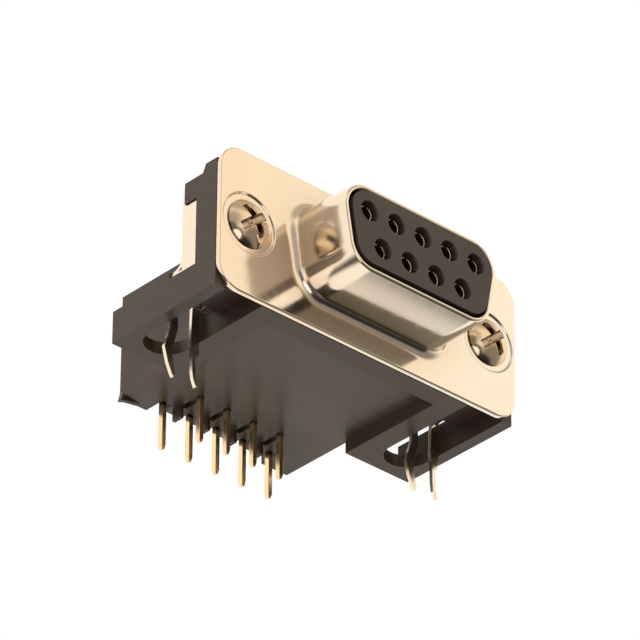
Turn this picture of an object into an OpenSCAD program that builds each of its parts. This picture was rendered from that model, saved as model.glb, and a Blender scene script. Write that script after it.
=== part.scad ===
// Right-angle nine-way D-sub socket for a circuit board.
// Z = 0 is the board's upper face, Y = 0 the front of the metal flange, X = 0 the middle.

/* [Front shell] */
// Distance from a screw's middle to the metal flange's end
flange_end = 2.91; // [2.8:0.01:3.2]
// Height of the metal flange
flange_h = 12.65; // [12:0.01:14]
// Corner radius of the metal flange
flange_r = 2; // [1:0.1:3]
// Thickness of the flange sheet
flange_t = 0.5; // [0.4:0.05:0.8]
// Widest outside width of the D-shaped shroud
shroud_w = 16.1; // [16:0.01:17]
// Outside height of the shroud
shroud_h = 7.8; // [7.7:0.01:8.3]
// Outside corner radius of the shroud
shroud_r = 2.5; // [2:0.05:3]
// Lean of the shroud's two sides, in degrees
shroud_lean = 10; // [8:0.5:12]
// How far the shroud stands out of the flange
shroud_depth = 5.75; // [5:0.05:7]
// Thickness of the shroud's wall
shroud_t = 0.4; // [0.3:0.05:0.6]
// Radius of the blend between the shroud and the flange
blend_r = 0.8; // [0.6:0.05:1.5]
// Height of the D's middle above the board
centre_z = 6.35; // [6.35:0.05:7]

/* [Screws and nuts] */
// Distance between the two screws
screw_pitch = 24.99; // [24.5:0.01:25.5]
// Outside diameter of the screw thread
screw_d = 2.84; // [2.5:0.01:3]
// Diameter of the screw head
head_d = 4.05; // [3.5:0.05:4.2]
// Height of the screw head's straight side
head_side = 0.1; // [0.1:0.05:0.3]
// Height of the dome over that side
dome_h = 0.95; // [0.8:0.05:1.2]
// Length of the screw under its head
screw_len = 4.4; // [4.2:0.05:5]
// Arm length of the cross recess in the head
cross_w = 2.8; // [2:0.05:3]
// Arm width of the cross recess
cross_t = 0.55; // [0.4:0.05:0.7]
// Depth of the cross recess
cross_deep = 0.75; // [0.5:0.05:0.9]
// Turn of the cross recess, in degrees
cross_turn = 38; // [0:1:90]
// Width of the nut across its flats
nut_af = 4.76; // [4.4:0.01:5]
// Thickness of the nut
nut_t = 1.1; // [1:0.05:1.4]
// Flat strip of flange left between the dimple around a head and the flange's end
seat_edge = 0.26; // [0.2:0.01:0.4]
// Width of the dimple's slope
seat_slope = 0.15; // [0.1:0.05:0.5]
// Depth of the dimple
seat_deep = 0.15; // [0.1:0.05:0.4]

/* [Contacts] */
// Distance between neighbouring contacts in a row
pitch = 2.77; // [2.7:0.01:2.84]
// Distance between the two rows of contacts
row_gap = 2.84; // [2.7:0.01:3]
// Inside diameter of a socket, for a 1.02 mm pin
socket_d = 1.1; // [1.04:0.01:1.2]
// Outside diameter of a socket
barrel_d = 1.5; // [1.4:0.05:1.6]
// Depth of a socket from its mouth
socket_deep = 6.5; // [5.5:0.1:7]
// How far the socket's mouth lies behind the insulator's face
barrel_back = 0.5; // [0.3:0.05:0.8]
// How far the socket ends before the rear insulator does
barrel_short = 1; // [0.5:0.1:1.5]
// Diameter of the collar that is trapped between insulator and housing
collar_d = 2; // [1.8:0.05:2.2]
// Length of the collar
collar_len = 0.6; // [0.4:0.05:0.8]
// Width of a board pin
pin_w = 0.4; // [0.35:0.05:0.5]
// Depth of a board pin, front to back
pin_t = 0.5; // [0.4:0.05:0.6]
// Width of the slit that makes a socket springy
slit_w = 0.2; // [0.15:0.05:0.3]
// Length of that slit
slit_len = 3.5; // [2.5:0.1:4.5]
// Length of the tapered tip of a board pin
pin_tip = 0.4; // [0.3:0.05:0.9]
// Distance from the flange's front to the front row of board pins
pin_y = 14.99; // [14.5:0.01:15.5]
// How far the board pins reach below the board's upper face
pin_below = 3.05; // [2.5:0.05:4]
// Middle radius of the bend in a board pin
pin_bend = 1; // [0.6:0.05:1.3]

/* [Insulator] */
// Gap between the insulator and the shroud around it
insulator_gap = 0.36; // [0.2:0.01:0.4]
// How far the insulator's face stands out of the shroud's rim
face_out = 0.15; // [0:0.01:0.3]
// Diameter of the hole around a socket
cavity_d = 1.6; // [1.6:0.02:1.7]
// Diameter of the chamfered mouth of that hole
mouth_d = 1.76; // [1.74:0.02:2]
// How far the insulators' own flanges stand out around the D
insulator_edge = 0.7; // [0.6:0.05:0.8]
// Thickness of the front insulator's own flange
insulator_t = 0.8; // [0.7:0.05:0.85]
// Thickness of the rear insulator's own flange
rear_flange_t = 0.55; // [0.5:0.05:0.6]
// Wall of the rear insulator around the outer sockets
rear_wall = 0.3; // [0.25:0.05:0.4]
// Distance from the flange's front to the rear of the rear insulator
block_back = 6; // [5.5:0.1:7]

/* [Housing] */
// Thickness of the upright plate behind the flange
plate_t = 2.35; // [2.3:0.05:3]
// Height of the plate above the board
plate_h = 11.35; // [11:0.05:12]
// Half-width of the body behind the plate
body_half = 8.72; // [8.6:0.02:9]
// Space between the rear insulator and the body's top wall over it
roof_over = 0.25; // [0.1:0.05:0.6]
// Height of the body's underside above the board
body_lift = 0.93; // [0.5:0.01:1.2]
// Distance from the flange's front to the rear of the body
body_back = 19.25; // [19:0.05:20]
// Thickness of the body's side walls
side_t = 0.85; // [0.6:0.05:1.2]
// Thickness of the body's top wall
roof_t = 0.9; // [0.6:0.05:1.2]
// Distance from the flange's front to the step in the plate's underside
step_y = 2.25; // [2:0.05:2.6]
// Thickness of the comb plate that spaces the board pins
comb_t = 1; // [0.8:0.05:1.4]
// How far the comb plate reaches behind the middle of the rear pins
comb_over = 0.55; // [0.4:0.05:0.7]
// Width of the open slots for the rear pins
slot_w = 0.95; // [0.8:0.05:1.2]
// Width of the closed slots for the front pins
notch_w = 0.56; // [0.56:0.02:0.7]
// Width of the small ribs that stand on the board
rib_w = 0.3; // [0.25:0.05:0.4]
// Length of those ribs
rib_len = 1; // [0.8:0.05:1.2]
// Height of the small lip at the body's left rear lower corner
lip_h = 0.45; // [0.2:0.05:0.5]
// Distance from the flange's front to the rear of the feet
foot_back = 12.35; // [12:0.05:13]
// Height of the feet above the board
foot_h = 2.85; // [2.6:0.05:3.2]
// Thickness of a foot's floor behind the boardlock's legs
foot_floor = 1.1; // [0.9:0.05:1.5]
// Height of the rim along the left foot's outer edge
rim_h = 3.4; // [3.3:0.05:4]
// Width of the slot in a foot
foot_slot_w = 3.7; // [3.5:0.05:3.8]
// Distance from the flange's front to the rear end of that slot
foot_slot_back = 11.15; // [10.5:0.05:11.4]
// Depth of the blind front part of that slot
foot_slot_deep = 1.7; // [1.2:0.05:2]
// Height of the rail over the nut pocket, above the board
rail_h = 10.65; // [10.4:0.05:10.9]
// Height of the nut pocket's roof above the board
pocket_h = 9.3; // [9:0.05:9.9]

/* [Boardlocks] */
// Thickness of the boardlock's sheet
lock_t = 0.32; // [0.25:0.01:0.4]
// Width of the boardlock's upright part
lock_w = 5.5; // [5:0.05:5.6]
// Width of the tongue that carries the legs
tongue_w = 3.5; // [3.2:0.05:3.6]
// Distance from the legs' middle forward to the end of the wide floor
floor_short = 1.9; // [1.5:0.1:2.2]
// Outer radius at the foot of the rear leaf
lock_bend = 1.25; // [1:0.05:1.4]
// Outer radius where the legs turn down
leg_bend = 0.6; // [0.5:0.05:0.8]
// Distance from the flange's front to the middle of the legs
leg_y = 7.75; // [7.5:0.05:8.2]
// How far the legs reach below the board's upper face
leg_below = 4.15; // [3.5:0.05:5]

/* [Fits] */
// Radial clearance of a screw in its nut's thread
thread_gap = 0.02; // [0.01:0.01:0.05]
// Radial clearance around a screw in plain holes
hole_gap = 0.12; // [0.05:0.01:0.2]
// Clearance around a contact inside the housing
contact_gap = 0.08; // [0.05:0.01:0.1]
// Side clearance between the insulator's flange and the housing
nest_gap = 0.1; // [0.05:0.01:0.15]
// Clearance between the boardlock and the plastic beside it
lock_gap = 0.05; // [0.03:0.01:0.1]

/* [Hidden] */
$fn = 64;
cut = 0.5;                                    // how far a cutting shape runs past a face
hair = 0.002;                                 // keeps tangent edges crossing cleanly
blend_steps = 8;                              // the blend rises in fine steps
upper_ways = 5;                               // contacts in the upper row
lower_ways = upper_ways - 1;
flange_back = flange_t;
plate_back = flange_back + plate_t;
shroud_front = -shroud_depth;
face_y = shroud_front - face_out;             // front face of the insulator
collar_y = flange_back + insulator_t;         // rear face of the insulator, front of the collars
barrel_front = face_y + barrel_back;
barrel_end = block_back - barrel_short;       // where the socket ends and its lead begins
upper_z = centre_z + row_gap / 2;
lower_z = centre_z - row_gap / 2;
rear_pin_y = pin_y + row_gap;
block_half = pitch * lower_ways / 2 + barrel_d / 2 + contact_gap + rear_wall; // rear insulator's half-width
block_low = lower_z - barrel_d / 2 - contact_gap - rear_wall;
block_high = upper_z + barrel_d / 2 + contact_gap + rear_wall;
body_h = block_high + nest_gap + roof_over + roof_t; // top of the body
inner_w = shroud_w - 2 * shroud_t;
inner_h = shroud_h - 2 * shroud_t;
inner_r = shroud_r - shroud_t;
lock_front = plate_back;                      // upright front leaf of the boardlock
nut_y = lock_front + lock_t;
lock_back = nut_y + nut_t;                    // front face of the rear leaf
foot_mid = screw_pitch / 2;
foot_end = foot_mid + flange_end;
flange_w = 2 * foot_end;
seat_d = 2 * (flange_end - seat_edge);        // rim of the dimple
seat_floor_d = seat_d - 2 * seat_slope;
slot_end = foot_slot_back - foot_slot_w / 2;  // centre of the slot's round end
rear_shoulder = collar_y + rear_flange_t;     // rear face of the rear insulator's flange
boss_d = seat_floor_d + 2 * seat_slope;       // back of the dimple
rib_back = rear_pin_y + pin_t / 4;            // rear end of the small ribs
comb_back = rear_pin_y + comb_over;
lock_end = leg_y - floor_short;               // where the boardlock's wide floor ends
upper_layer = foot_h + 0.6 * lock_t;          // underside of the sheet's upper layer on the foot
leg_w = 0.214 * tongue_w;                     // width of both legs at their root
leg_out = 0.33 * tongue_w;                    // outer side of the left leg, from the screw's line
leg_in = 0.286 * tongue_w;                    // inner side of the right leg

// X of each contact: 1 to 5 run from right to left in the upper row, 6 to 9 in the lower row
function way_x(n) = n <= upper_ways
    ? pitch * ((upper_ways + 1) / 2 - n)
    : pitch * ((lower_ways + 1) / 2 - (n - upper_ways));
function way_z(n) = n <= upper_ways ? upper_z : lower_z;
function way_y(n) = n <= upper_ways ? rear_pin_y : pin_y;

// Turns what is drawn in X and Z on the floor, with its depth in Z, so that it stands and runs back
module upright(y) translate([0, y, 0]) rotate([-90, 0, 0]) mirror([0, 1, 0]) children();

// Middles of the four corner arcs of a D outline, from the upper right one anticlockwise
function d_corners(w, h, r) =
    let(x = w / 2 - r, z = h / 2 - r, in = (h - 2 * r) * tan(shroud_lean))
    [[x, z], [-x, z], [-x + in, -z], [x - in, -z]];

// D outline, wide side up: a disc at each corner and a core that stays a hair inside their tangents
module d_outline(w, h, r) {
    c = d_corners(w, h, r);
    turn = [-shroud_lean, 90, 180 + shroud_lean, 270, 360 - shroud_lean];
    polygon([for (i = [0:3], a = [turn[i], turn[i + 1]]) c[i] + (r - hair) * [cos(a), sin(a)]]);
    for (p = c) translate(p) circle(r);
}

// A solid D between two depths
module d_block(w, h, r, y0, y1)
    translate([0, 0, centre_z]) upright(y0) linear_extrude(y1 - y0) d_outline(w, h, r);

// How far the blend stands out of the shroud at a height over the flange
function blend_out(y) = blend_r - sqrt(pow(blend_r, 2) - pow(blend_r - y, 2));

module plate_outline(w, h, r) {
    square([w - 2 * r, h], center = true);
    square([w, h - 2 * r], center = true);
    for (x = [-1, 1], z = [-1, 1]) translate([x * (w / 2 - r), z * (h / 2 - r)]) circle(r);
}

module at_screws() for (s = [-1, 1]) translate([s * foot_mid, 0, centre_z]) children();

// A round bar along Y
module bar(d, y0, y1) translate([0, y0, 0]) rotate([-90, 0, 0]) cylinder(d = d, h = y1 - y0);

module block(x0, x1, y0, y1, z0, z1) translate([x0, y0, z0]) cube([x1 - x0, y1 - y0, z1 - z0]);

// Metal shell: flange and D-shaped shroud drawn from one sheet, with a dimple around each screw
module front_shell() color("wheat") {
    difference() {
        union() {
            translate([0, 0, centre_z]) upright(0) linear_extrude(flange_t)
                plate_outline(flange_w, flange_h, flange_r);
            d_block(shroud_w, shroud_h, shroud_r, shroud_front, flange_t);
            for (i = [0:blend_steps - 1]) {
                out = blend_out(blend_r * (i + 0.5) / blend_steps);
                d_block(shroud_w + 2 * out, shroud_h + 2 * out, shroud_r + out,
                        -blend_r * (i + 1) / blend_steps, flange_t / 2);
            }
            at_screws() bar(boss_d, flange_t / 2, flange_t + seat_deep);
        }
        d_block(inner_w, inner_h, inner_r, shroud_front - cut, flange_t + cut);
        at_screws() {
            bar(screw_d + 2 * hole_gap, -cut, flange_t + seat_deep + cut);
            rotate([-90, 0, 0]) cylinder(d1 = seat_d, d2 = seat_floor_d, h = seat_deep);
            bar(seat_d, -cut, 0);
        }
    }
}

// Black moulding that fills the shroud and holds the sockets
module front_insulator() color("dimgray") difference() {
    union() {
        d_block(inner_w - 2 * insulator_gap, inner_h - 2 * insulator_gap, inner_r - insulator_gap,
                face_y, collar_y);
        d_block(inner_w + 2 * insulator_edge, inner_h + 2 * insulator_edge, inner_r + insulator_edge,
                flange_back, collar_y);
    }
    for (n = [1:upper_ways + lower_ways]) translate([way_x(n), 0, way_z(n)]) {
        bar(cavity_d, face_y - cut, collar_y + cut);
        translate([0, face_y, 0]) rotate([-90, 0, 0])
            cylinder(d1 = mouth_d, d2 = cavity_d, h = mouth_d - cavity_d);
    }
}

// Black moulding behind the front insulator: the two trap the contacts' collars between them
module rear_insulator() color("dimgray") difference() {
    union() {
        d_block(inner_w + 2 * insulator_edge, inner_h + 2 * insulator_edge, inner_r + insulator_edge,
                collar_y, rear_shoulder);
        block(-block_half, block_half, collar_y, block_back, block_low, block_high);
    }
    for (n = [1:upper_ways + lower_ways]) translate([way_x(n), 0, way_z(n)]) {
        bar(collar_d + 2 * contact_gap, collar_y - cut, collar_y + collar_len);
        bar(barrel_d + 2 * contact_gap, collar_y, block_back + cut);
    }
}

// Side view of the upright plate, stepped down at its rear top edge
module plate_side() {
    step = plate_h - rail_h;
    polygon([[flange_back, 0], [plate_back, 0], [plate_back, rail_h],
             [plate_back - step, rail_h], [plate_back - 1.5 * step, plate_h], [flange_back, plate_h]]);
}

// One foot, on the right, slotted for the boardlock: its outer edge rises to edge_h
module foot(edge_h) {
    rim_x = foot_mid + foot_slot_w / 2;
    difference() {
        union() {
            block(body_half - side_t, foot_end, flange_back, foot_back, 0, foot_h);
            block(rim_x, foot_end, lock_end, foot_slot_back, 0, edge_h);
            block(body_half - side_t, foot_end, plate_back - cut, lock_back - lock_gap, pocket_h, rail_h);
            block(foot_end - cut, foot_end, plate_back - cut, lock_back - lock_gap, pocket_h - cut, rail_h);
        }
        block(rim_x - foot_slot_w, rim_x, flange_back - cut, slot_end, -cut, foot_slot_deep);
        block(rim_x - foot_slot_w, rim_x, lock_end - lock_t, slot_end, -cut, foot_h + cut);
        translate([foot_mid, slot_end, -cut]) cylinder(d = foot_slot_w, h = foot_h + 2 * cut);
        block(body_half, rim_x, leg_y + lock_t / 2 + lock_gap, foot_back + cut, foot_floor, foot_h + cut);
    }
}

// Hood over the bent pins, open at the back: roof, two side walls and the comb plate below
module hood() {
    block(-body_half, body_half, plate_back - cut, body_back, body_h - roof_t, body_h);
    for (s = [0, 1]) mirror([s, 0, 0])
        block(body_half - side_t, body_half, plate_back - cut, body_back, body_lift, body_h);
    difference() {
        union() {
            block(-body_half, body_half, plate_back - cut, comb_back, body_lift, body_lift + comb_t);
            for (s = [0, 1]) mirror([s, 0, 0])
                block(way_x(1) + slot_w / 2, body_half, pin_y, body_back, body_lift, body_lift + comb_t);
        }
        for (n = [1:upper_ways])
            block(way_x(n) - slot_w / 2, way_x(n) + slot_w / 2, rear_pin_y - slot_w / 2, comb_back + cut,
                  0, body_lift + comb_t + cut);
        for (n = [upper_ways + 1:upper_ways + lower_ways])
            block(way_x(n) - notch_w / 2, way_x(n) + notch_w / 2, pin_y - notch_w / 2, rib_back - rib_len,
                  0, body_lift + comb_t + cut);
    }
}

// Small ribs under the comb plate that stand on the board, and the lip at the left rear lower corner
module standoffs() {
    for (i = [1:upper_ways - 1]) {
        x = pitch * (i - upper_ways / 2) - notch_w / 2;
        block(x, x + rib_w, rib_back - rib_len, rib_back, 0, body_lift + comb_t / 2);
    }
    translate([-body_half, 0, body_lift]) upright(body_back - lip_h) linear_extrude(lip_h)
        polygon([[0, lip_h], [-lip_h / 2, -lip_h], [lip_h, -lip_h / 2], [4 * lip_h, 0], [4 * lip_h, lip_h]]);
}

// Black moulding: upright plate, hood and two feet in one piece
module housing() color("gray") difference() {
    union() {
        difference() {
            union() {
                translate([-foot_end, 0, 0]) rotate([90, 0, 90]) linear_extrude(flange_w) plate_side();
                hood();
                foot(foot_h);
                mirror([1, 0, 0]) foot(rim_h);
            }
            block(-body_half, body_half, step_y, body_back, -cut, body_lift);
            for (s = [-1, 1]) block(s * foot_mid - foot_slot_w / 2, s * foot_mid + foot_slot_w / 2,
                                    flange_back - cut, plate_back + cut, -cut, foot_slot_deep);
        }
        standoffs();
    }
    d_block(inner_w + 2 * (insulator_edge + nest_gap), inner_h + 2 * (insulator_edge + nest_gap),
            inner_r + insulator_edge + nest_gap, flange_back - cut, rear_shoulder);
    block(-block_half - nest_gap, block_half + nest_gap, 0, plate_back + cut,
          block_low - nest_gap, block_high + nest_gap);
    at_screws() {
        bar(screw_d + 2 * hole_gap, 0, plate_back + cut);
        bar(boss_d + 2 * nest_gap, 0, flange_back + seat_deep);
    }
}

// One contact: slotted socket, collar, lead and tapered board pin
module contact(n) color("gold") translate([way_x(n), 0, way_z(n)]) {
    y = way_y(n);
    drop = way_z(n) + pin_below;                  // from the lead down to the pin's end
    difference() {
        union() {
            bar(barrel_d, barrel_front, barrel_end);
            bar(collar_d, collar_y, collar_y + collar_len);
        }
        bar(socket_d, barrel_front - cut, barrel_front + socket_deep);
        block(-slit_w / 2, slit_w / 2, barrel_front - cut, barrel_front + slit_len, -barrel_d, barrel_d);
    }
    block(-pin_w / 2, pin_w / 2, barrel_end - cut, y - pin_bend, -pin_t / 2, pin_t / 2);
    translate([0, y - pin_bend, -pin_bend]) rotate([0, -90, 0]) rotate_extrude(angle = 90)
        translate([pin_bend, 0]) square([pin_t, pin_w], center = true);
    block(-pin_w / 2, pin_w / 2, y - pin_t / 2, y + pin_t / 2, pin_tip - drop, -pin_bend);
    translate([0, y, -drop]) intersection() {
        rotate([90, 0, 0]) linear_extrude(pin_t, center = true) tip_side(pin_w);
        rotate([90, 0, 90]) linear_extrude(pin_w, center = true) tip_side(pin_t);
    }
}

// Taper of a pin's tip, standing on its narrow end
module tip_side(w) polygon([[-w / 2, pin_tip], [-w / 3, 0], [w / 3, 0], [w / 2, pin_tip]]);

// Side view of the boardlock in Y and Z: upright front leaf, floor, rear leaf and its bend
module lock_side() {
    bend_z = upper_layer + lock_bend;
    translate([lock_front, foot_h]) square([lock_t, pocket_h - cut - lock_gap - foot_h]);
    translate([lock_front, foot_h]) square([lock_end - lock_gap - lock_front, lock_t]);
    translate([lock_back, bend_z]) square([lock_t, rail_h - cut / 2 - bend_z]);
    translate([lock_back + lock_bend, bend_z]) intersection() {
        difference() {
            circle(lock_bend);
            circle(lock_bend - lock_t);
        }
        translate([-lock_bend, -lock_bend]) square(lock_bend);
    }
}

// Two legs in X and Z, drawn about the screw's line: points are shares of the tongue's width and the reach
module legs_front() {
    top = (foot_h + lock_t - leg_bend) / leg_below;
    left = [[-0.314, 0.05], [-0.4, -0.19], [-0.486, -0.42], [-0.386, -0.72], [-0.271, -0.94], [-0.214, -1],
            [-0.157, -0.94], [-0.229, -0.7], [-0.271, -0.42], [-0.186, -0.19], [-0.114, 0.05]];
    right = [[0.271, 0], [0.3, -0.31], [0.314, -0.67], [0.343, -0.84], [0.429, -1], [0.486, -0.96],
             [0.429, -0.8], [0.4, -0.39], [0.5, -0.29]];
    scale([tongue_w, leg_below]) {
        polygon(concat([[-leg_out / tongue_w, top]], left, [[(leg_w - leg_out) / tongue_w, top]]));
        polygon(concat([[leg_in / tongue_w, top]], right, [[(leg_in + leg_w) / tongue_w, top]]));
    }
}

// Boardlock: folded sheet cage around the nut, with two sprung legs for a board hole
module boardlock(side) color("silver") translate([side * foot_mid, 0, 0]) {
    bend_y = leg_y + lock_t / 2 - leg_bend;
    difference() {
        union() {
            translate([-lock_w / 2, 0, 0]) rotate([90, 0, 90]) linear_extrude(lock_w) lock_side();
            translate([side * (lock_w - lock_t) / 2, 0, 0])
                block(-lock_t / 2, lock_t / 2, lock_front, lock_back + lock_t, foot_h,
                      pocket_h - cut - lock_gap);
            block(-tongue_w / 2, tongue_w / 2, lock_front, bend_y, foot_h, foot_h + lock_t);
            block(-tongue_w / 2, tongue_w / 2, lock_back + lock_bend - lock_t / 2, bend_y - lock_t,
                  upper_layer, upper_layer + lock_t);
            for (x = [-leg_out, leg_in]) translate([x, 0, 0]) rotate([90, 0, 90]) linear_extrude(leg_w)
                translate([bend_y, foot_h + lock_t - leg_bend]) intersection() {
                    difference() {
                        circle(leg_bend);
                        circle(leg_bend - lock_t);
                    }
                    square(leg_bend);
                }
            translate([0, leg_y + lock_t / 2, 0]) rotate([90, 0, 0]) linear_extrude(lock_t) legs_front();
        }
        translate([0, 0, centre_z]) bar(screw_d + 2 * hole_gap, 0, leg_y);
    }
}

module nut(side) color("lightgray") translate([side * foot_mid, nut_y, centre_z]) difference() {
    rotate([-90, 30, 0]) cylinder(d = nut_af / cos(30), h = nut_t, $fn = 6);
    bar(screw_d + 2 * thread_gap, -cut, nut_t + cut);
}

// Domed screw with a cross recess, seated in the flange
module screw(side) color("lightyellow") translate([side * foot_mid, seat_deep, centre_z]) {
    dome_r = (dome_h * dome_h + head_d * head_d / 4) / (2 * dome_h);
    head_h = head_side + dome_h;
    difference() {
        union() {
            intersection() {
                translate([0, dome_r - head_h, 0]) sphere(dome_r);
                bar(head_d, -head_h, 0);
            }
            bar(screw_d, -cut / 2, screw_len);
        }
        translate([0, -head_h, 0]) for (a = [-cross_turn, 90 - cross_turn]) rotate([0, a, 0])
            block(-cross_w / 2, cross_w / 2, -cut, cross_deep, -cross_t / 2, cross_t / 2);
    }
}

front_shell();
front_insulator();
rear_insulator();
housing();
contact(1);  // contact_1
contact(2);  // contact_2
contact(3);  // contact_3
contact(4);  // contact_4
contact(5);  // contact_5
contact(6);  // contact_6
contact(7);  // contact_7
contact(8);  // contact_8
contact(9);  // contact_9
boardlock(-1);  // left_boardlock
boardlock(1);  // right_boardlock
nut(-1);  // left_nut
nut(1);  // right_nut
screw(-1);  // left_screw
screw(1);  // right_screw
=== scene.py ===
# %% [markdown]
# # A right-angle D-sub socket
# The connector is a drawn metal shell with a black moulding inside it, a black housing
# behind it, two screws, two sheet-metal boardlocks and nine gilded contacts. This lesson
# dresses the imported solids: it gives every piece its finish, and remakes the ones whose
# real surface is softer than the solids show, such as the drawn shell and the screws.

import bmesh
import bpy
import numpy as np
from mathutils import Matrix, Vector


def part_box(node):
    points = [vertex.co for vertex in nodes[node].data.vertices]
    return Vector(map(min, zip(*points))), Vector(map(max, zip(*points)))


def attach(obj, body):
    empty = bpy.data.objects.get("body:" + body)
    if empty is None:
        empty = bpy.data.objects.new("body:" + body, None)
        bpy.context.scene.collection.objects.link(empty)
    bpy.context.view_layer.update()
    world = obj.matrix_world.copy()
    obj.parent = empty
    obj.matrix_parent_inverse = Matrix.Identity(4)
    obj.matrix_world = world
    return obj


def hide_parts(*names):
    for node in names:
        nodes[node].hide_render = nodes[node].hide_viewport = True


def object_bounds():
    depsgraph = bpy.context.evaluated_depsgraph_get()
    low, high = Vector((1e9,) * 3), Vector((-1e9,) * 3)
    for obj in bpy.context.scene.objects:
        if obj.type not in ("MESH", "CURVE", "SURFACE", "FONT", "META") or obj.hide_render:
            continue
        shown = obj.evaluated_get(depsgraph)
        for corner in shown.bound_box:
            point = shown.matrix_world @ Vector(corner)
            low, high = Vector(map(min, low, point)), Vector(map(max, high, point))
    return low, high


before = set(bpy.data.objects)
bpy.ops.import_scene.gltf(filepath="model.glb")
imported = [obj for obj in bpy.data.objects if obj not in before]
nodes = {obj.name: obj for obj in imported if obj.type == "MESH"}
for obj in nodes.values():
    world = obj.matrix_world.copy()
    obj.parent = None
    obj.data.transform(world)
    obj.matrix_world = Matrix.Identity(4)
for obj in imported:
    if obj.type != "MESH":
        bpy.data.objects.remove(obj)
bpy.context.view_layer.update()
print("pieces in the frame:", len(nodes))

# %% [markdown]
# ## Sizes
# Blender works in metres and the connector is a few centimetres wide, so `MM` turns a
# size in millimetres into metres. What the frame's boxes can tell is read from them, and
# only the shapes inside those boxes, such as the D's corners, are given here.

# %% Sizes of the shell
MM = 0.001
shell_low, shell_high = (np.array(corner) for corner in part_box("front_shell"))
screw_low, screw_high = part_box("right_screw")
FLANGE_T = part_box("housing")[0][1]
SHROUD_FRONT = shell_low[1]
CENTRE_Z = (shell_low[2] + shell_high[2]) / 2
SCREW_X = (screw_low[0] + screw_high[0]) / 2
D_WIDTH, D_HEIGHT, D_CORNER = 16.1 * MM, 7.8 * MM, 2.5 * MM
D_LEAN = 10
WALL = 0.4 * MM
BLEND = 0.8 * MM
FLANGE_CORNER = 2 * MM
print("shroud depth in mm:", round(-SHROUD_FRONT / MM, 3), "screws at", round(SCREW_X / MM, 3))

# %% [markdown]
# ## Grids become meshes
# The shell and the screws are grids of points, worked out as numpy arrays. `grid_faces`
# joins neighbouring points into four-sided faces, and `piece` puts the arrays into a
# mesh object, merges the seams and turns all faces outwards. Bent metal needs smooth
# shading with crisp folds, which is what `crisp` sets.

# %% From arrays to a mesh
SEAM = 0.0005 * MM


def grid_faces(rows, columns, first=0):
    """Quads of a grid that closes on itself along its columns: corner (v, u) is first + v * columns + u."""
    v, u = np.meshgrid(np.arange(rows - 1), np.arange(columns), indexing="ij")
    right = (u + 1) % columns
    quads = [v * columns + u, v * columns + right, (v + 1) * columns + right, (v + 1) * columns + u]
    return first + np.stack(quads, axis=-1).reshape(-1, 4)


def crisp(mesh, angle):
    """Smooth shading everywhere, except across edges that turn by more than `angle` degrees."""
    mesh.shade_smooth()
    mesh.set_sharp_from_angle(angle=np.radians(angle))


def piece(name, points, faces, sharp=40):
    """A mesh object from arrays, with merged seams and outward faces."""
    mesh = bpy.data.meshes.new(name)
    mesh.from_pydata(points.reshape(-1, 3).tolist(), [], [list(map(int, face)) for face in faces])
    made = bmesh.new()
    made.from_mesh(mesh)
    bmesh.ops.remove_doubles(made, verts=made.verts, dist=SEAM)
    bmesh.ops.recalc_face_normals(made, faces=made.faces)
    made.to_mesh(mesh)
    made.free()
    crisp(mesh, sharp)
    thing = bpy.data.objects.new(name, mesh)
    bpy.context.scene.collection.objects.link(thing)
    return thing


print("faces of a grid of 3 by 4 points:", len(grid_faces(3, 4)))

# %% [markdown]
# ## Outlines as paths
# The shell's wall follows a D, and the flange's edge follows a rounded rectangle. Both
# are four arcs joined by straight runs, so one function serves: it gives points along
# the outline and the direction that points outwards at each of them. A profile is then
# carried along that path by moving each point outwards by the profile's offset.

# %% Outlines and profiles carried along them
def arc_path(centres, radius, turns, steps=20):
    """Points centre + radius * (cos a, sin a) for every corner arc, with their outward directions."""
    angles = np.concatenate([np.linspace(turns[i], turns[i + 1], steps + 1) for i in range(4)])
    out = np.stack([np.cos(angles), np.sin(angles)], axis=-1)
    return np.repeat(centres, steps + 1, axis=0) + radius * out, out


def carried(path, out, offset, depth):
    """Grid of points: path + offset * outward in X and Z, and the profile's depth in Y."""
    flat = path[None] + offset[:, None, None] * out[None]
    y = np.broadcast_to(depth[:, None], flat.shape[:2])
    return np.stack([flat[..., 0], y, CENTRE_Z + flat[..., 1]], axis=-1)


half_x, half_z = D_WIDTH / 2 - D_CORNER, D_HEIGHT / 2 - D_CORNER
lean_in = 2 * half_z * np.tan(np.radians(D_LEAN))
d_centres = np.array([[half_x, half_z], [-half_x, half_z],
                      [lean_in - half_x, -half_z], [half_x - lean_in, -half_z]])
d_turns = np.radians([-D_LEAN, 90, 180 + D_LEAN, 270, 360 - D_LEAN])
d_path, d_out = arc_path(d_centres, D_CORNER, d_turns)
edge_x, edge_z = shell_high[0] - FLANGE_CORNER, (shell_high[2] - shell_low[2]) / 2 - FLANGE_CORNER
edge_centres = np.array([[edge_x, edge_z], [-edge_x, edge_z], [-edge_x, -edge_z], [edge_x, -edge_z]])
edge_path, edge_out = arc_path(edge_centres, FLANGE_CORNER, np.radians([0, 90, 180, 270, 360]))
print("points round the D:", len(d_path), "round the flange:", len(edge_path))

# %% [markdown]
# ## The shroud's profile
# The flange and the shroud are drawn from one steel sheet. The punch leaves a soft blend
# where the wall rises from the flange, and the shroud narrows a little towards its
# rounded rim, faster near the end. One profile holds all of that, from the inside of the
# wall, over the rim and down the outside to the flange.

# %% Wall profile
BORDER = 0.06 * MM
DRAFT = 0.2 * MM
RIM = WALL / 2
TAPER_START = SHROUD_FRONT + 6 * RIM


def quarter(radius, start, steps):
    """Offsets and depths of a quarter circle about the origin from the angle `start`."""
    a = np.radians(np.linspace(start, start + 90, steps + 1))
    return radius * np.cos(a), radius * np.sin(a)


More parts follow.
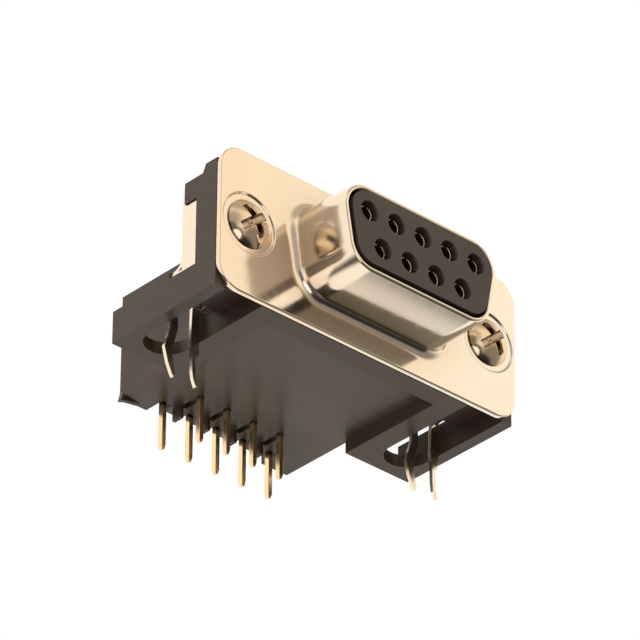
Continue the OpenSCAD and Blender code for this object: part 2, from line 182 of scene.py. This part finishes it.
rim_x, rim_y = (np.concatenate(both) for both in zip(quarter(RIM, 180, 8), quarter(RIM, 270, 8)))
blend_x, blend_y = quarter(BLEND, 180, 14)
share = np.linspace(1, 0, 14)[:-1]
draft_x = -DRAFT * (share + share**5) / 2
draft_y = -BLEND + (SHROUD_FRONT + RIM + BLEND) * share
wall_offset = np.concatenate([[-WALL, -WALL], rim_x - RIM - DRAFT, draft_x[1:],
                              BLEND + blend_x, [BLEND + BORDER]])
wall_depth = np.concatenate([[FLANGE_T - BORDER, TAPER_START], SHROUD_FRONT + RIM + rim_y, draft_y[1:],
                             -BLEND - blend_y, [0.0]])
print("points in the wall's profile:", len(wall_offset))

# %% [markdown]
# ## The flange's edge and dimples
# The flange's cut edge is rounded by the plating drum. Around each screw the sheet is
# coined into a shallow dimple for the head, with soft shoulders, so its profile is given
# as pairs of radius and depth: the front side first, then the hole, then the back.

# %% Edge and dimple profiles
EDGE = 0.1 * MM
front_x, front_y = quarter(EDGE, 270, 5)
back_x, back_y = quarter(EDGE, 0, 5)
edge_offset = np.concatenate([[-EDGE - BORDER], front_x - EDGE, back_x - EDGE, [-EDGE - BORDER]])
edge_depth = np.concatenate([[0.0], EDGE + front_y, FLANGE_T - EDGE + back_y, [FLANGE_T]])
dimple_front = [(2.72, 0), (2.69, 0), (2.66, 0.01), (2.62, 0.04),
                (2.57, 0.1), (2.53, 0.14), (2.49, 0.15), (2.44, 0.15)]
dimple_hole = [(1.55, 0.15), (1.55, 0.65)]
dimple_back = [(2.5, 0.65), (2.58, 0.63), (2.63, 0.58), (2.68, 0.52), (2.72, 0.5)]
dimple_r, dimple_y = np.array(dimple_front + dimple_hole + dimple_back).T * MM
print("points in the edge's profile:", len(edge_offset), "in the dimple's:", len(dimple_r))

# %% [markdown]
# ## The shell in one mesh
# The wall is carried round the D, the edge round the flange's outline, and each dimple
# is turned about its screw. What is left open is flat: the flange's front and its back,
# each an outline with holes. Triangles fill them. At the front, each profile ends in a
# narrow flat border, which keeps the shading of the flat even right up to the fold.

# %% Shell mesh
ON_PLANE = 0.001 * MM


def turned(radius, depth, x, steps=96):
    """Surface of revolution about a screw's line: X = x + r cos a, Z = centre + r sin a, Y = depth."""
    a = np.linspace(0, 2 * np.pi, steps, endpoint=False)
    y = np.broadcast_to(depth[:, None], (len(depth), steps))
    return np.stack([x + radius[:, None] * np.cos(a), y, CENTRE_Z + radius[:, None] * np.sin(a)], axis=-1)


def joined(grids):
    """Stacks several closed grids into one list of points and one of faces."""
    points, faces, first = [], [], 0
    for grid in grids:
        points.append(grid.reshape(-1, 3))
        faces.append(grid_faces(*grid.shape[:2], first))
        first += grid.shape[0] * grid.shape[1]
    return np.concatenate(points), np.concatenate(faces)


def fill_flat(mesh, depth):
    """Fills the flat gap between the open loops that lie at this depth."""
    made = bmesh.new()
    made.from_mesh(mesh)
    loops = [edge for edge in made.edges
             if edge.is_boundary and all(abs(v.co.y - depth) < ON_PLANE for v in edge.verts)]
    bmesh.ops.triangle_fill(made, use_beauty=True, edges=loops, normal=(0, -1, 0))
    bmesh.ops.recalc_face_normals(made, faces=made.faces)
    made.to_mesh(mesh)
    made.free()


inner_border = carried(d_path, d_out, np.array([-WALL, -WALL]), np.array([FLANGE_T - BORDER, FLANGE_T]))
shell_grids = [carried(d_path, d_out, wall_offset, wall_depth), inner_border,
               carried(edge_path, edge_out, edge_offset, edge_depth),
               turned(dimple_r, dimple_y, -SCREW_X), turned(dimple_r, dimple_y, SCREW_X)]
shell = piece("drawn_shell", *joined(shell_grids))
for flat_depth in (0.0, FLANGE_T):
    fill_flat(shell.data, flat_depth)
crisp(shell.data, 40)
edge_uses = np.bincount([loop.edge_index for loop in shell.data.loops])
print("shell faces:", len(shell.data.polygons), "open edges:", int((edge_uses == 1).sum()))

# %% [markdown]
# ## The screws' cross recess
# A cross-recess driver is tapered, so the recess is deepest in the middle and its arms
# get shallower outwards, with sloping side walls. It is a depth over the head's disc:
# the deeper of two arms at right angles.

# %% Recess
ARM_REACH, ARM_DEEP = 1.4 * MM, 0.85 * MM
ARM_HALF, ARM_SLOPE = 0.36 * MM, 0.12 * MM


def cross_depth(x, z, turn):
    """The deeper arm's depth: deep * root(1 - along / reach), times a smooth step across its side walls."""
    depth = np.zeros_like(x)
    for a in (turn, turn + np.pi / 2):
        along = np.abs(x * np.cos(a) + z * np.sin(a)) / ARM_REACH
        across = np.abs(-x * np.sin(a) + z * np.cos(a))
        floor = ARM_DEEP * np.clip(1 - along, 0, 1) ** 0.5
        walls = np.clip((ARM_HALF - across) / ARM_SLOPE, 0, 1)
        depth = np.maximum(depth, floor * walls * walls * (3 - 2 * walls))
    return depth


print("recess depth at the middle in mm:", round(float(cross_depth(np.zeros(1), np.zeros(1), 0)[0] / MM), 2))

# %% [markdown]
# ## The screws
# A pan head has a low side and a dome, which is part of a ball. It is a height over a
# disc, less the recess's depth, and the cap stops a hair short of the ball's own edge
# on the head's side. The shank below it is a tube whose radius rises and falls along a
# helix, which is what a rolled thread is, and it thins at its tip. Head and shank are
# one grid, closed by a face at each end.

# %% Screws
HEAD_R, HEAD_SIDE, DOME = 2.025 * MM, 0.1 * MM, 0.95 * MM
SEAT_Y = 0.15 * MM
SHANK_R, THREAD, THREAD_PITCH = 1.42 * MM, 0.16 * MM, 0.635 * MM
TIP_RUN, TIP_SHARE = 0.06, 0.6
AROUND, HEAD_RINGS, SHANK_RINGS = 192, 60, 90
DOME_SHARE = 0.995


def screw_head(a, turn):
    """Rings of radius HEAD_R * sin t: height = side + root(ball^2 - r^2) - (ball - dome), less the recess."""
    r = HEAD_R * np.sin(np.linspace(0.004, np.pi / 2, HEAD_RINGS))
    px, pz = r[:, None] * np.cos(a), r[:, None] * np.sin(a)
    ball = (DOME**2 + HEAD_R**2) / (2 * DOME)
    height = HEAD_SIDE + np.sqrt(ball**2 - (r * DOME_SHARE) ** 2) - (ball - DOME)
    return np.stack([px, SEAT_Y - height[:, None] + cross_depth(px, pz, turn), pz], axis=-1)


def screw_shank(a):
    """Rings of a thread: radius = SHANK_R - THREAD * w, with w a zigzag of depth / pitch - angle / turn."""
    run = np.linspace(0, 1, SHANK_RINGS)[:, None]
    depth = SEAT_Y + run * (screw_high[1] - SEAT_Y)
    wave = np.abs(((depth / THREAD_PITCH - a / (2 * np.pi)) % 1) * 2 - 1)
    radius = (SHANK_R - THREAD * wave) * np.clip((1 - run) / TIP_RUN, TIP_SHARE, 1)
    return np.stack([radius * np.cos(a), np.broadcast_to(depth, radius.shape), radius * np.sin(a)], axis=-1)


def screw(name, x, turn):
    """A whole screw on the line X = x, with its recess turned by `turn` degrees."""
    a = np.linspace(0, 2 * np.pi, AROUND, endpoint=False)
    head = screw_head(a, np.radians(turn))
    under = head[-1:].copy()
    under[..., 1] = SEAT_Y
    grid = np.concatenate([head, under, screw_shank(a)]) + np.array([x, 0, CENTRE_Z])
    ends = [list(range(AROUND)), list(range((len(grid) - 1) * AROUND, len(grid) * AROUND))]
    made = piece(name, grid, [list(face) for face in grid_faces(*grid.shape[:2])] + ends, sharp=35)
    print(name, "faces:", len(made.data.polygons))
    return made


left_head = screw("left_pan_screw", -SCREW_X, 38)
right_head = screw("right_pan_screw", SCREW_X, 41)

# %% [markdown]
# ## Softened copies
# The other pieces already have their true shape, but a moulded or stamped edge is never
# perfectly sharp: it catches a thin line of light. Each is copied from its solid, its
# loose triangles are merged, flat areas become single faces, and a Bevel modifier
# rounds the edges by about a twentieth of a millimetre, and the nuts' by twice that.

# %% Copies with rounded edges
LOOSE = 0.001 * MM
FLAT_ANGLE = np.radians(0.2)


def softened(node, name, width, angle=35):
    """A merged copy of a node's mesh whose edges sharper than `angle` degrees are rounded by `width`."""
    copy = nodes[node].data.copy()
    copy.name = name
    copy.materials.clear()
    made = bmesh.new()
    made.from_mesh(copy)
    bmesh.ops.remove_doubles(made, verts=made.verts, dist=LOOSE)
    bmesh.ops.dissolve_limit(made, angle_limit=FLAT_ANGLE, verts=made.verts, edges=made.edges)
    made.to_mesh(copy)
    made.free()
    thing = bpy.data.objects.new(name, copy)
    bpy.context.scene.collection.objects.link(thing)
    bevel = thing.modifiers.new("rounded edges", "BEVEL")
    bevel.width = width
    bevel.segments = 2
    bevel.limit_method = "ANGLE"
    bevel.angle_limit = np.radians(angle)
    bevel.use_clamp_overlap = True
    bevel.harden_normals = True
    crisp(copy, angle)
    return thing


soft_housing = softened("housing", "moulded_housing", 0.07 * MM)
soft_insulator = softened("front_insulator", "socket_insulator", 0.04 * MM)
soft_rear = softened("rear_insulator", "clamping_insulator", 0.05 * MM)
soft_locks = [softened(side + "_boardlock", side + "_folded_lock", 0.05 * MM) for side in ("left", "right")]
soft_nuts = [softened(side + "_nut", side + "_hex_nut", 0.12 * MM) for side in ("left", "right")]
soft_contacts = [softened(f"contact_{n}", f"gilded_contact_{n}", 0.04 * MM) for n in range(1, 10)]
print("softened pieces:", 3 + len(soft_locks) + len(soft_nuts) + len(soft_contacts))

# %% [markdown]
# ## Materials
# A hex colour is an sRGB value, and shaders work in linear light, so `tint` converts it.
# `add` adds one node with its settings, and a value that is a socket is linked instead
# of set. Patterns are placed by Object coordinates, whose unit is the metre, so a noise
# of scale 1 / size has spots of that size.

# %% Colour and node helpers
def tint(code):
    """Linear RGBA of a hex colour: c / 12.92 when small, otherwise ((c + 0.055) / 1.055) to the power 2.4."""
    c = np.array([int(code[i:i + 2], 16) for i in (1, 3, 5)]) / 255
    return (*np.where(c <= 0.04045, c / 12.92, ((c + 0.055) / 1.055) ** 2.4), 1.0)


def add(tree, kind, values=None, **settings):
    """One node of this kind: `settings` are its own, `values` go to its inputs or link sockets to them."""
    made = tree.nodes.new(kind)
    for key, value in settings.items():
        setattr(made, key, value)
    for key, value in (values or {}).items():
        if isinstance(value, bpy.types.NodeSocket):
            tree.links.new(value, made.inputs[key])
        else:
            made.inputs[key].default_value = value
    return made


def grained(name, colour, grain, relief, roughness, spread=0.04, **shader_values):
    """A Principled material whose roughness and height vary with a noise of the given grain size."""
    material = bpy.data.materials.new(name)
    material.use_nodes = True
    tree = material.node_tree
    tree.nodes.clear()
    where = add(tree, "ShaderNodeMapping", {"Vector": add(tree, "ShaderNodeTexCoord").outputs["Object"]})
    noise = add(tree, "ShaderNodeTexNoise", {"Vector": where.outputs[0], "Scale": 1 / grain, "Detail": 3.0})
    rough = add(tree, "ShaderNodeMapRange", {"Value": noise.outputs[0], "From Min": 0.3, "From Max": 0.7,
                                             "To Min": roughness - spread, "To Max": roughness + spread})
    bump = add(tree, "ShaderNodeBump", {"Height": noise.outputs[0], "Distance": relief, "Strength": 0.5})
    shader = add(tree, "ShaderNodeBsdfPrincipled", {"Base Color": tint(colour), "Roughness": rough.outputs[0],
                                                    "Normal": bump.outputs[0], **shader_values})
    add(tree, "ShaderNodeOutputMaterial", {"Surface": shader.outputs[0]})
    return material


print("a middle grey in linear light:", round(float(tint("#808080")[0]), 3))

# %% [markdown]
# ## Metal finishes
# The shell is drawn steel with a bright nickel plate, the screws and nuts are
# cold-headed steel with a harder one. The contacts are brass with a thin flash of gold,
# and the boardlocks spring steel with bright tin. All are metals with a low roughness.
# What tells them apart is their tint and the size of the grain in it.

# %% Metals
SHELL_LEFT, SHELL_RIGHT = "#f3e3cf", "#f5f1e5"
SCREW_UNSHADED, GOLD_UNSHADED = "#ecd6b8", "#fbe3b8"
# A warm mirror with the wide, faint unevenness of a drawn sheet.
nickel_shell = grained("nickel plate on drawn steel", SHELL_LEFT, 0.8 * MM, 0.0015 * MM, 0.13, 0.03,
                       Metallic=1.0)
# A warm mirror too, with the smaller marks of the heading die.
nickel_screw = grained("nickel plate on cold-headed steel", SCREW_UNSHADED, 0.4 * MM, 0.003 * MM, 0.12, 0.03,
                       Metallic=1.0)
# Pale yellow and a little softer, because the flash follows the brass under it.
gold_flash = grained("gold flash on brass", GOLD_UNSHADED, 0.3 * MM, 0.002 * MM, 0.2, 0.04, Metallic=1.0)
# Nearly white, with a soft gleam.
bright_tin = grained("bright tin on spring steel", "#f5ebdc", 0.3 * MM, 0.002 * MM, 0.18, 0.04, Metallic=1.0)
print("metals:", [m.name for m in (nickel_shell, nickel_screw, gold_flash, bright_tin)])

# %% [markdown]
# ## Plastic finishes
# The mouldings are black polyester, filled with glass in the housing. A polished mould
# gives them a satin skin, so they are dark with a wide sheen. The grain stands for the
# fill that shows through the skin.

# %% Plastics
# A very dark warm brown rather than pure black, with a weaker gloss than the insulators'.
black_housing = grained("black glass-filled polyester", "#433731", 0.25 * MM, 0.0015 * MM, 0.34, 0.05,
                        **{"Specular IOR Level": 0.4})
# The same skin, a little darker and with a plain plastic's gloss.
black_insulator = grained("black polyester insulator", "#3b312e", 0.25 * MM, 0.0015 * MM, 0.36, 0.05)
print("plastics:", [m.name for m in (black_housing, black_insulator)])

# %% [markdown]
# ## Painted shade in the hollows
# A recess and a socket's slots get less light than open plate, and their colour carries
# painted shade for that. Ambient occlusion tells how enclosed a spot is, and blends a dark
# brown painted shade colour into the unshaded one where it is low.

# %% Painted shade
def recolour(material, colour):
    """Feeds a material's base colour from a socket."""
    tree = material.node_tree
    shader = next(n for n in tree.nodes if n.type == "BSDF_PRINCIPLED")
    tree.links.new(colour, shader.inputs["Base Color"])


def enclosed(tree, reach, closed, clear, least):
    """Mix factor from how open a spot is within `reach`: `least` when closed in, 1 in the clear."""
    hollow = add(tree, "ShaderNodeAmbientOcclusion", {"Distance": reach}, samples=8)
    return add(tree, "ShaderNodeMapRange", {"Value": hollow.outputs["AO"], "From Min": closed,
                                            "From Max": clear, "To Min": least, "To Max": 1.0}).outputs[0]


# Painted shade: the base colour turns dark brown where a spot is closed in.
for material, reach, painted_shade_colour, unshaded in ((nickel_screw, 1.2 * MM, "#5a3f2c", SCREW_UNSHADED),
                                     (gold_flash, 0.8 * MM, "#3a2a1e", GOLD_UNSHADED)):
    tree = material.node_tree
    open_share = enclosed(tree, reach, closed=0.35, clear=0.85, least=0.0)
    painted_shade = add(tree, "ShaderNodeMix", {0: open_share, 6: tint(painted_shade_colour), 7: tint(unshaded)}, data_type="RGBA")
    recolour(material, painted_shade.outputs[2])
print("painted_shade_in_hollows: the screws' nickel and the contacts' gold")

# %% [markdown]
# ## Painted light and shade on the shell
# The plate's colour isn't even: it is painted paler towards the connector's right end,
# as painted light where its reflections are brighter, and painted tan near the root of the
# shroud, as painted shade where the wall and the flange close each other in. The first is
# a blend along X, and the second uses the same measure of enclosure as the painted shade in the hollows.

# %% Shell tone
SHELL_PAINTED_SHADE = "#b5906a"
HALF_LENGTH = 15 * MM
tree = nickel_shell.node_tree
spot = add(tree, "ShaderNodeSeparateXYZ", {0: add(tree, "ShaderNodeTexCoord").outputs["Object"]})
# Painted light: the plate's colour turns paler towards the right end, where its reflections are brighter.
along = add(tree, "ShaderNodeMapRange", {"Value": spot.outputs["X"], "From Min": -HALF_LENGTH,
                                         "From Max": HALF_LENGTH})
plate = add(tree, "ShaderNodeMix", {0: along.outputs[0], 6: tint(SHELL_LEFT), 7: tint(SHELL_RIGHT)},
            data_type="RGBA")
# Painted shade: the plate turns tan where the shroud and the flange close a spot in.
open_share = enclosed(tree, 5 * MM, closed=0.45, clear=0.9, least=0.62)
painted_shade_tone = add(tree, "ShaderNodeMix", {0: open_share, 6: tint(SHELL_PAINTED_SHADE), 7: plate.outputs[2]}, data_type="RGBA")
recolour(nickel_shell, painted_shade_tone.outputs[2])
print("nodes in the shell's plate:", len(tree.nodes))

# %% [markdown]
# ## Dressing the frame
# Each new piece takes its finish, rides on the connector's one body, and hides the solid
# that it replaces.

# %% Dress the pieces
dressed = [(shell, "shell", nickel_shell, "front_shell"),
           (left_head, "screw", nickel_screw, "left_screw"),
           (right_head, "screw", nickel_screw, "right_screw"),
           (soft_housing, "housing", black_housing, "housing"),
           (soft_insulator, "insulator", black_insulator, "front_insulator"),
           (soft_rear, "insulator", black_insulator, "rear_insulator")]
for side, lock, nut in zip(("left", "right"), soft_locks, soft_nuts):
    dressed.append((lock, "boardlock", bright_tin, side + "_boardlock"))
    dressed.append((nut, "nut", nickel_screw, side + "_nut"))
for n, contact in enumerate(soft_contacts, 1):
    dressed.append((contact, "contact", gold_flash, f"contact_{n}"))
for thing, slot, material, node in dressed:
    thing.data.materials.append(material)
    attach(thing, "root")
    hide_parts(node)
print("dressed pieces:", len(dressed))

# %% [markdown]
# ## Camera
# The connector is seen from below, from its left front, through a long lens. The camera
# stands on the line that leaves the aim point at the given azimuth and elevation, and is
# turned a hair about that line.

# %% Place the camera
AIM = np.array([0, 5, 4.3]) * MM
DISTANCE = 466.08 * MM
LENS, SHIFT_X, SHIFT_Y = 339.35, -0.01057, 0.0171
azimuth, elevation, roll = np.radians([-42.128, -31.622, 0.443])
back = np.array([np.sin(azimuth) * np.cos(elevation), -np.cos(azimuth) * np.cos(elevation),
                 np.sin(elevation)])
across = np.array([np.cos(azimuth), np.sin(azimuth), 0])
up = np.cross(back, across)
right = np.cos(roll) * across + np.sin(roll) * up
top = np.cos(roll) * up - np.sin(roll) * across
camera = bpy.data.objects.new("camera", bpy.data.cameras.new("camera"))
place = Matrix(np.column_stack([right, top, back]).tolist()).to_4x4()
place.translation = AIM + DISTANCE * back
camera.matrix_world = place
camera.data.lens = LENS
camera.data.shift_x, camera.data.shift_y = SHIFT_X, SHIFT_Y
camera.data.clip_start, camera.data.clip_end = 0.01, 10
bpy.context.scene.collection.objects.link(camera)
bpy.context.scene.camera = camera
print("camera at", [round(float(v), 4) for v in camera.matrix_world.translation])

# %% [markdown]
# ## Floor
# The floor is a pale matt card under the lowest leg, and keeps the connector's shadow.
# From below it would hide everything, so its back side is clear. It stays out of the
# metal's reflections and of the bounced light, which the room alone gives.

# %% Floor
FLOOR_REACH = 0.5
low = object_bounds()[0][2]
corners = [(-1, -1), (1, -1), (1, 1), (-1, 1)]
floor_mesh = bpy.data.meshes.new("floor")
floor_mesh.from_pydata([(x * FLOOR_REACH, y * FLOOR_REACH, low) for x, y in corners], [], [(0, 1, 2, 3)])
floor = bpy.data.objects.new("floor", floor_mesh)
bpy.context.scene.collection.objects.link(floor)
card = bpy.data.materials.new("pale matt card")
card.use_nodes = True
tree = card.node_tree
tree.nodes.clear()
matt = add(tree, "ShaderNodeBsdfDiffuse", {"Color": tint("#f4f3f1")})
clear = add(tree, "ShaderNodeBsdfTransparent")
from_below = add(tree, "ShaderNodeNewGeometry").outputs["Backfacing"]
mixed = add(tree, "ShaderNodeMixShader", {0: from_below, 1: matt.outputs[0], 2: clear.outputs[0]})
add(tree, "ShaderNodeOutputMaterial", {"Surface": mixed.outputs[0]})
floor_mesh.materials.append(card)
floor.visible_glossy = False
floor.visible_diffuse = False
floor.visible_shadow = False
print("floor at", round(low / MM, 2), "mm")

# %% [markdown]
# ## The room
# Plated metal shows what stands around it, so the room is most of its look. It is pale
# and warm nearly everywhere and dark straight below. A few soft patches are dimmer, as
# an open door or a dark card in a studio is, and one low at the back is brighter. The
# camera itself sees plain white, and all other rays see the room.

# %% Room
world = bpy.data.worlds.new("studio")
bpy.context.scene.world = world
world.use_nodes = True
tree = world.node_tree
tree.nodes.clear()
facing = add(tree, "ShaderNodeTexCoord").outputs["Generated"]


def patch(direction, start, full, outside, inside):
    """A smooth step of facing . direction: `outside` under `start` and `inside` over `full`."""
    unit = tuple(np.array(direction) / np.linalg.norm(direction))
    turn = add(tree, "ShaderNodeVectorMath", {0: facing, 1: unit}, operation="DOT_PRODUCT")
    return add(tree, "ShaderNodeMapRange", {"Value": turn.outputs["Value"], "From Min": start,
                                            "From Max": full, "To Min": outside, "To Max": inside},
               interpolation_type="SMOOTHSTEP").outputs[0]


# Each patch: its direction, where it starts and is full, and the share of light left in it.
DIM_PATCHES = [((0.57, -0.63, -0.52), 0.5, 0.9, 0.26),      # right front, low: the shroud's dark band
               ((-0.72, -0.63, 0.3), 0.75, 1.0, 0.45),      # left front: the shroud's left wall
               ((-0.74, -0.63, -0.2), 0.92, 0.99, 0.25),    # below that one: the wall's dark edge
               ((0.1, -0.2, 1.0), 0.75, 0.95, 0.5),         # overhead: the blend's upper side
               ((-0.45, -0.72, -0.53), 0.9, 0.97, 0.15)]    # behind the lamp, so that the two don't add
BRIGHT_PATCH = (0.1, 0.63, -0.77)                           # low at the back: the corner by the rim
WARM_PATCH = (0.57, -0.63, 0.52)                            # high in front: the flange's peach tone
level = patch((0, 0, 1), -0.7, -0.45, 0.12, 1.1)
for direction, start, full, left in DIM_PATCHES:
    dimmed = add(tree, "ShaderNodeMath", {0: level, 1: patch(direction, start, full, 1.0, left)},
                 operation="MULTIPLY")
    level = dimmed.outputs[0]
level = add(tree, "ShaderNodeMath", {0: level, 1: patch(BRIGHT_PATCH, 0.84, 0.96, 0.0, 1.0)},
            operation="ADD").outputs[0]
warmth = add(tree, "ShaderNodeMix", {0: patch(WARM_PATCH, 0.2, 0.9, 0.0, 1.0),
                                     6: tint("#fdf4e8"), 7: tint("#fff0dc")}, data_type="RGBA")
glow = add(tree, "ShaderNodeBackground", {"Color": warmth.outputs[2], "Strength": level})
plain = add(tree, "ShaderNodeBackground", {"Color": (1, 1, 1, 1), "Strength": 1.0})
seen = add(tree, "ShaderNodeLightPath").outputs["Is Camera Ray"]
chosen = add(tree, "ShaderNodeMixShader", {0: seen, 1: glow.outputs[0], 2: plain.outputs[0]})
add(tree, "ShaderNodeOutputWorld", {"Surface": chosen.outputs[0]})
print("dim patches in the room:", len(DIM_PATCHES))

# %% [markdown]
# ## Lamps
# Two soft boxes finish the light. The key box stands high in front and models the black
# mouldings, and is kept out of reflections, where it would burn a white spot. The wide
# one beside the camera draws the bright streak down the shroud's lower corner: corner
# and flange together send light back to where it came from.

# %% Lamps
def softbox(name, direction, width, power, distance):
    """A round area lamp at AIM + distance * direction that looks back at AIM."""
    lamp = bpy.data.lights.new(name, "AREA")
    lamp.shape = "DISK"
    lamp.size = width
    lamp.energy = power
    made = bpy.data.objects.new(name, lamp)
    unit = np.array(direction) / np.linalg.norm(direction)
    sideways = np.cross([0, 0, 1], unit)
    sideways = sideways / np.linalg.norm(sideways)
    turn = Matrix(np.column_stack([sideways, np.cross(unit, sideways), unit]).tolist()).to_4x4()
    turn.translation = AIM + distance * unit
    made.matrix_world = turn
    bpy.context.scene.collection.objects.link(made)
    return made


key_box = softbox("key box", (0.35, -0.5, 0.8), width=0.05, power=0.006, distance=0.12)
key_box.visible_glossy = False
streak_box = softbox("lamp beside the camera", (-0.47, -0.64, -0.61), width=0.2, power=0.12, distance=0.3)
print("lamps:", [lamp.name for lamp in (key_box, streak_box)])

# %% [markdown]
# ## Finish
# The Standard view keeps a colour as it is written.

# %% Finish
bpy.context.scene.view_settings.view_transform = "Standard"
print("boxes written for", len(nodes), "nodes")
